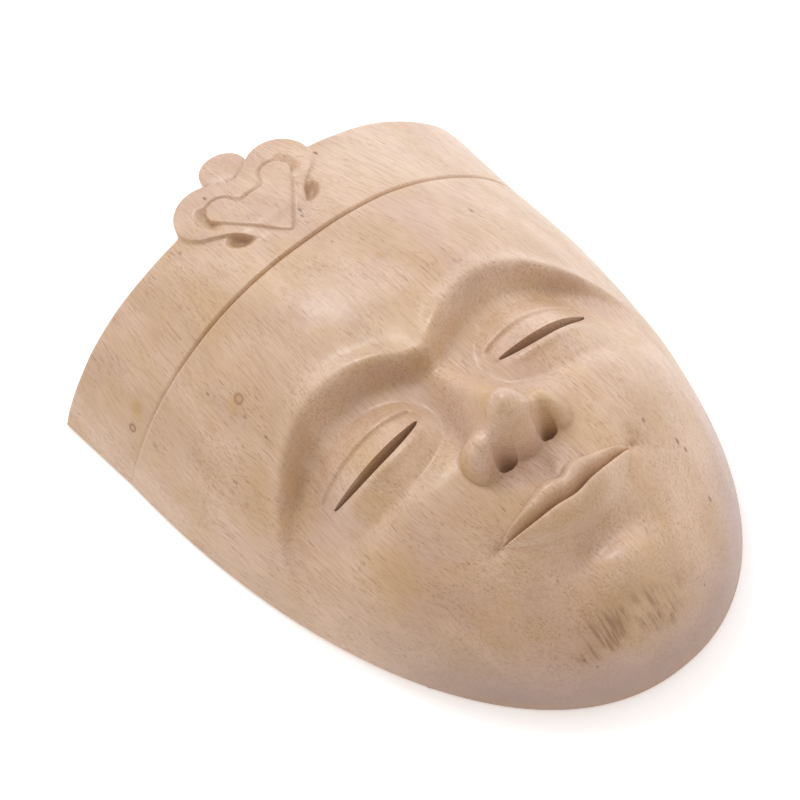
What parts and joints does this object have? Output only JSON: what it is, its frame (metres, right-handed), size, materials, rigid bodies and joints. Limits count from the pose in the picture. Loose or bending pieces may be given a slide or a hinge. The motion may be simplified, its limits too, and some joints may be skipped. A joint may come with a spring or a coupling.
{
  "type": "carved wooden mask",
  "caption": "Carved wooden face mask with lowered lids, a headband with a heart ornament and boss, and a hollow back; it lies on its rim.",
  "frame": {"origin": "middle of the bounding box, on the plane of the rim", "axes": "+Z out of the face, +Y towards the top of the head, X across the face"},
  "size_m": [0.1532, 0.2064, 0.0655],
  "materials": {
    "waxed_pale_wood": "pale close-grained hardwood, hand carved, sanded and waxed to a soft satin"
  },
  "bodies": {
    "root": {"carved_mask": "waxed_pale_wood"}
  },
  "joints": []
}
